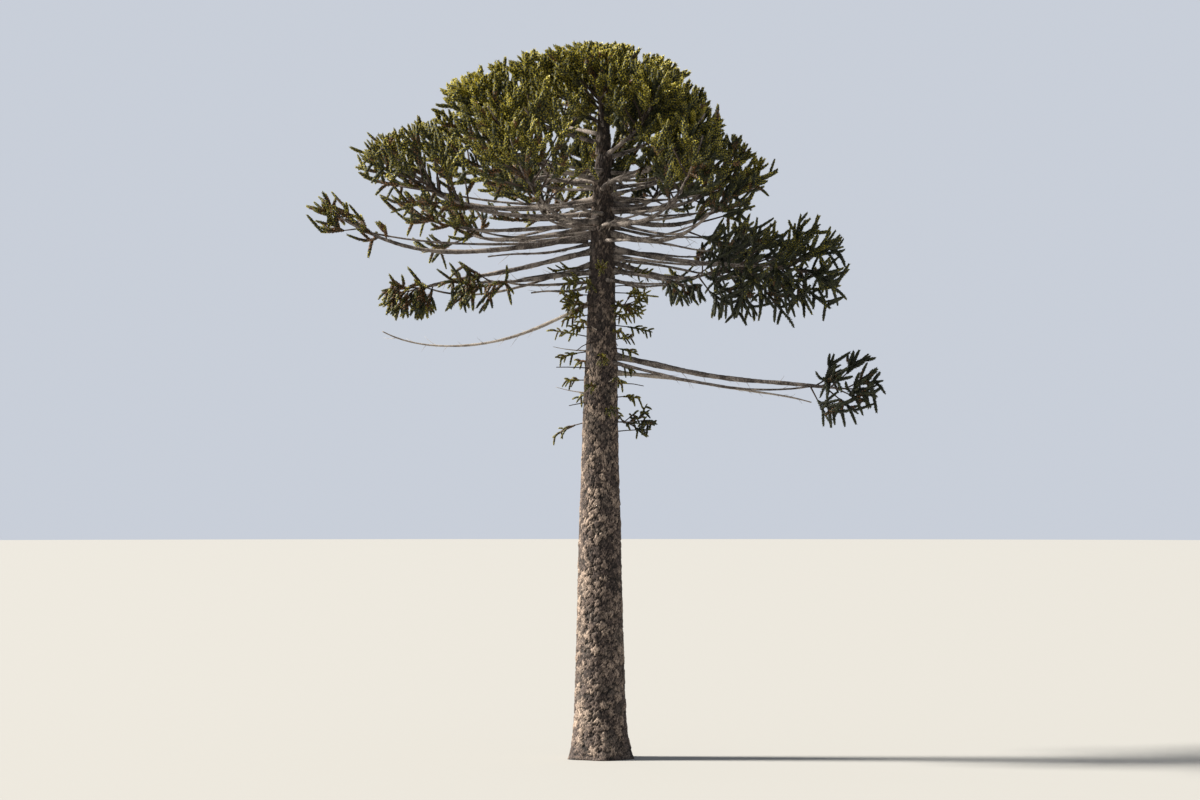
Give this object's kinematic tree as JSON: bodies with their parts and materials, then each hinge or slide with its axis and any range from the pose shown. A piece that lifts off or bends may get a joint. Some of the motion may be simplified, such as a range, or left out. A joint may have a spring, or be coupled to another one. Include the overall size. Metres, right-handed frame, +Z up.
{
  "type": "monkey puzzle tree",
  "caption": "Old monkey puzzle tree with a long bare trunk, a flat-topped umbrella of rope-like green shoots, and a few lone boughs below it",
  "frame": {"origin": "middle of the flat cut under the trunk, at ground level", "axes": "+Z up along the trunk, +X to the right of the picture, +Y away from the camera"},
  "size_m": [15.7684, 11.4248, 19.9796],
  "materials": {
    "trunk_bark": "matte",
    "bough_bark": "matte",
    "dead_wood": "matte",
    "foliage": "satin"
  },
  "bodies": {
    "root": {"bough_broad_1": "bough_bark", "bough_broad_2": "bough_bark", "bough_broad_3": "bough_bark", "bough_broad_4": "bough_bark", "bough_broad_5": "bough_bark", "bough_broad_6": "bough_bark", "bough_dead_left": "dead_wood", "bough_dead_right": "dead_wood", "bough_left_rim": "bough_bark", "bough_long_left": "bough_bark", "bough_low_back": "bough_bark", "bough_low_left": "bough_bark", "bough_lowest_right": "bough_bark", "bough_mid_left": "bough_bark", "bough_near_left": "bough_bark", "bough_right_arm": "bough_bark", "bough_right_hang": "bough_bark", "bough_right_rim": "bough_bark", "bough_shoulder_1": "bough_bark", "bough_shoulder_2": "bough_bark", "bough_shoulder_3": "bough_bark", "bough_shoulder_4": "bough_bark", "bough_shoulder_5": "bough_bark", "bough_under_1": "bough_bark", "bough_under_2": "bough_bark", "foliage_broad_1": "foliage", "foliage_broad_2": "foliage", "foliage_broad_3": "foliage", "foliage_broad_4": "foliage", "foliage_broad_5": "foliage", "foliage_broad_6": "foliage", "foliage_left_rim": "foliage", "foliage_long_left": "foliage", "foliage_low_back": "foliage", "foliage_low_left": "foliage", "foliage_lowest_right": "foliage", "foliage_mid_left": "foliage", "foliage_near_left": "foliage", "foliage_right_arm": "foliage", "foliage_right_hang": "foliage", "foliage_right_rim": "foliage", "foliage_shoulder_1": "foliage", "foliage_shoulder_2": "foliage", "foliage_shoulder_3": "foliage", "foliage_shoulder_4": "foliage", "foliage_shoulder_5": "foliage", "foliage_top_front": "foliage", "foliage_top_leader": "foliage", "foliage_top_left": "foliage", "foliage_top_right": "foliage", "foliage_tuft_left_high": "foliage", "foliage_tuft_right_high": "foliage", "foliage_tuft_right_low": "foliage", "foliage_under_1": "foliage", "foliage_under_2": "foliage", "foliage_upper_1": "foliage", "foliage_upper_2": "foliage", "foliage_upper_3": "foliage", "foliage_upper_4": "foliage", "trunk": "trunk_bark"}
  },
  "joints": []
}
